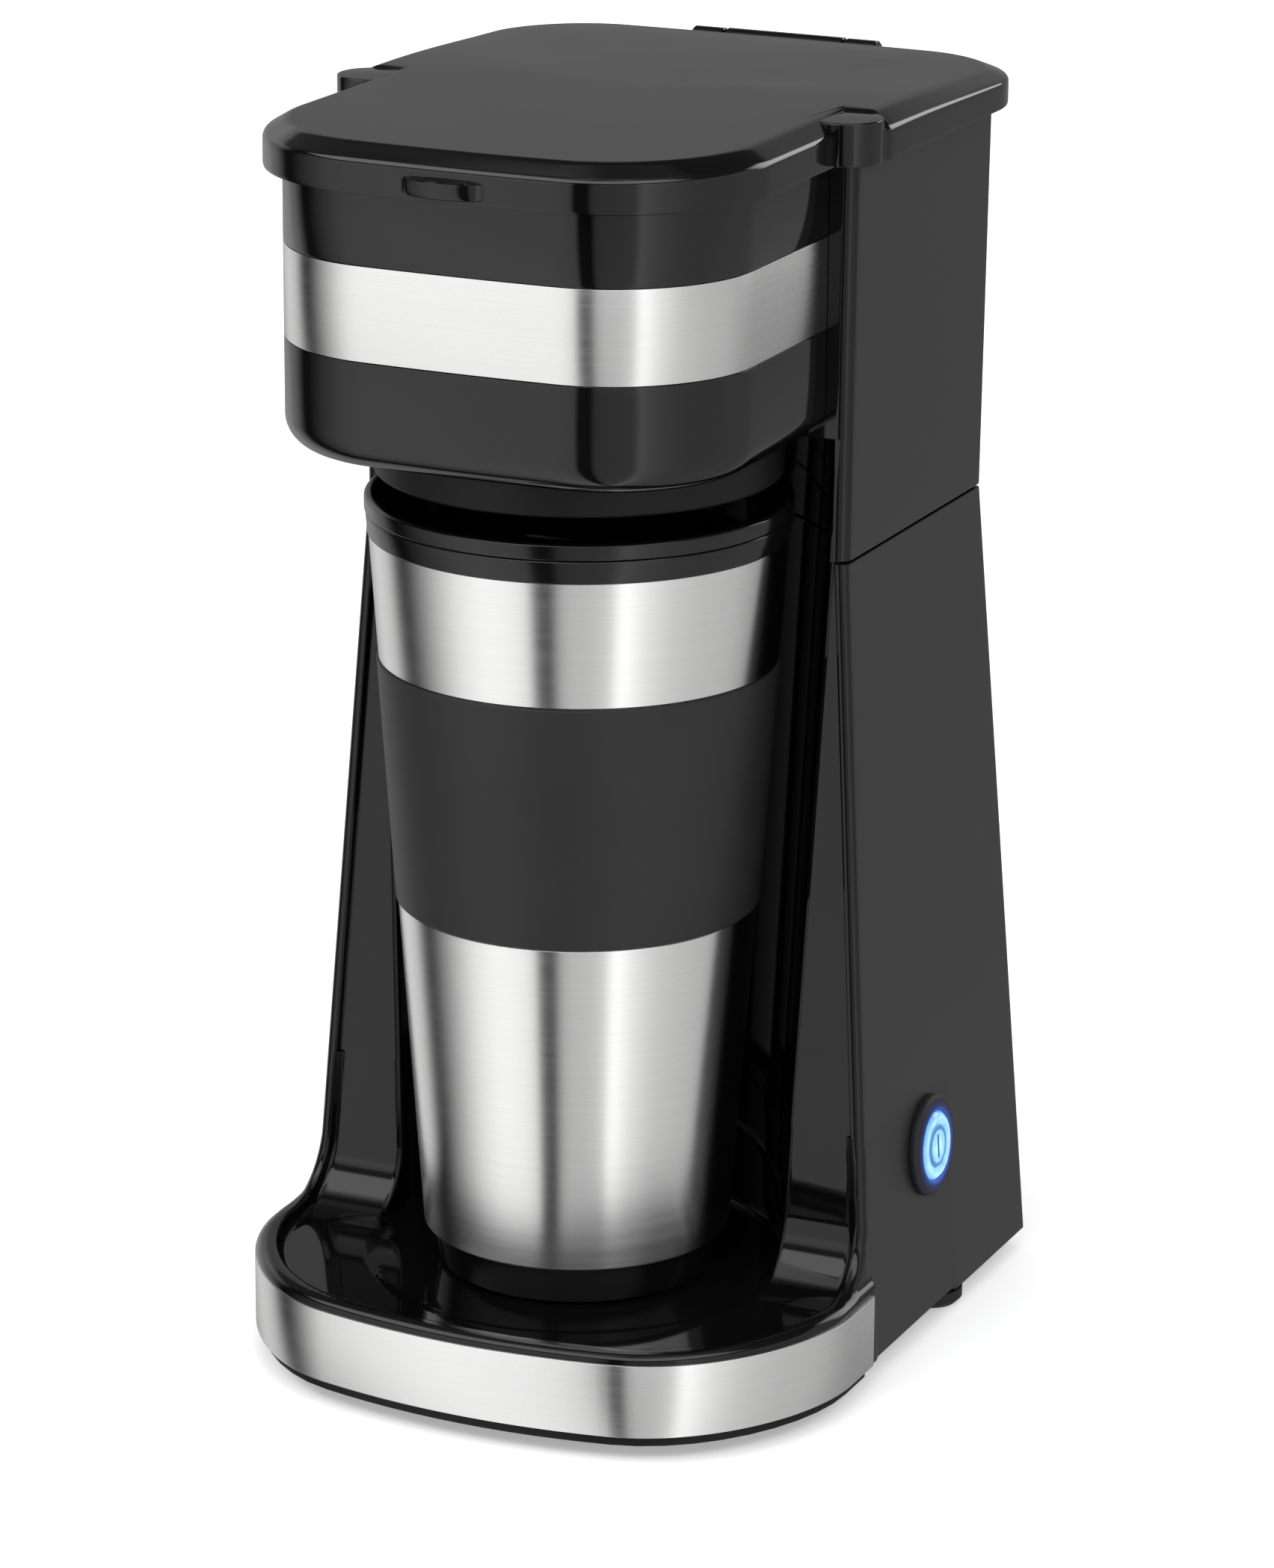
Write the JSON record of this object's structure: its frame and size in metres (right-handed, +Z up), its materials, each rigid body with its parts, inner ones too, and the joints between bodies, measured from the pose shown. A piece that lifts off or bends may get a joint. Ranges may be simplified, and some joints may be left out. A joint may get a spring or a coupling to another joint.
{
  "type": "drip coffee maker",
  "caption": "Compact drip coffee maker with a hinged lid over its tank and filter, a side power button and a steel travel mug standing in its bay.",
  "frame": {"origin": "middle of the object's box at the height of the surface it stands on", "axes": "+Z up, -Y towards the front where the mug stands, +X towards the side with the power button"},
  "size_m": [0.1378, 0.175, 0.2751],
  "materials": {
    "satin_black_housing": "satin moulded plastic, near black",
    "gloss_black_housing": "glossy moulded plastic, black",
    "brushed_steel_trim": "stainless strip, brushed along its length",
    "black_rubber": "matt rubber",
    "zinc_steel": "zinc-plated steel",
    "grey_tank": "smoke grey moulded plastic",
    "natural_plastic": "natural nylon",
    "silicone": "translucent silicone",
    "aluminium": "cast and drawn aluminium",
    "sheath_steel": "dull element sheath",
    "steel_mesh": "fine woven steel mesh",
    "bakelite": "phenolic moulding",
    "ceramic_sleeve": "glass-fibre sleeve",
    "lit_cap": "translucent cap lit blue from behind",
    "soft_bezel": "soft-touch black",
    "circuit_board": "green board with a light",
    "mug_steel": "stainless, brushed around the mug",
    "liner_steel": "satin stainless",
    "grip_rubber": "soft matt black sleeve",
    "mug_plastic": "semi-gloss black plastic"
  },
  "bodies": {
    "machine": {"lower_housing": "satin_black_housing", "upper_housing": "satin_black_housing", "base_plate": "satin_black_housing", "rubber_feet": "black_rubber", "base_screws": "zinc_steel", "base_band": "brushed_steel_trim", "brew_head": "gloss_black_housing", "head_band": "brushed_steel_trim", "outlet_skirt": "gloss_black_housing", "hinge_pin": "zinc_steel", "water_tank": "grey_tank", "tank_strainer": "natural_plastic", "valve_seat": "natural_plastic", "inlet_hose": "silicone", "riser_hose": "silicone", "hose_clips": "zinc_steel", "water_spout": "natural_plastic", "heater_tube": "aluminium", "heating_element": "sheath_steel", "heater_saddle": "aluminium", "heater_bracket": "zinc_steel", "bracket_screws": "zinc_steel", "thermostat": "bakelite", "thermal_fuse": "ceramic_sleeve", "terminal_block": "natural_plastic", "cord_gland": "black_rubber", "filter_holder": "satin_black_housing", "filter_frame": "satin_black_housing", "filter_mesh": "steel_mesh", "button_bezel": "soft_bezel", "button_spring": "zinc_steel", "power_switch": "bakelite", "led_board": "circuit_board"},
    "lid": {"lid": "gloss_black_housing", "shower_plate": "natural_plastic"},
    "button": {"button_cap": "lit_cap", "button_stem": "natural_plastic"},
    "valve_ball": {"valve_ball": "zinc_steel"},
    "mug": {"mug_shell": "mug_steel", "mug_liner": "liner_steel", "mug_grip": "grip_rubber", "mug_collar": "mug_plastic", "mug_foot": "mug_plastic", "mug_lid": "mug_plastic", "mug_lid_seal": "silicone"},
    "mug_shutter": {"mug_lid_slider": "mug_plastic"}
  },
  "joints": [
    {"name": "lid_hinge", "type": "hinge", "parent": "machine", "child": "lid", "pos_m": [0, 0.084, 0.269], "axis": [-1, 0, 0], "range_deg": [0, 100]},
    {"name": "power_button_press", "type": "slide", "parent": "machine", "child": "button", "axis": [-0.9978, 0, -0.0657], "range_m": [0, 0.0015], "stiffness_N_per_m": 800, "springref_m": -0.0005, "deforming": ["button_spring"]},
    {"name": "mug_pull", "type": "slide", "parent": "machine", "child": "mug", "axis": [0, -0.994, 0.1093], "range_m": [0, 0.041]},
    {"name": "mug_lid_shutter", "type": "slide", "parent": "mug", "child": "mug_shutter", "axis": [0, 1, 0], "range_m": [0, 0.012]},
    {"name": "valve_ball_lift", "type": "slide", "parent": "machine", "child": "valve_ball", "axis": [0, 0, 1], "range_m": [0, 0.0055]}
  ]
}
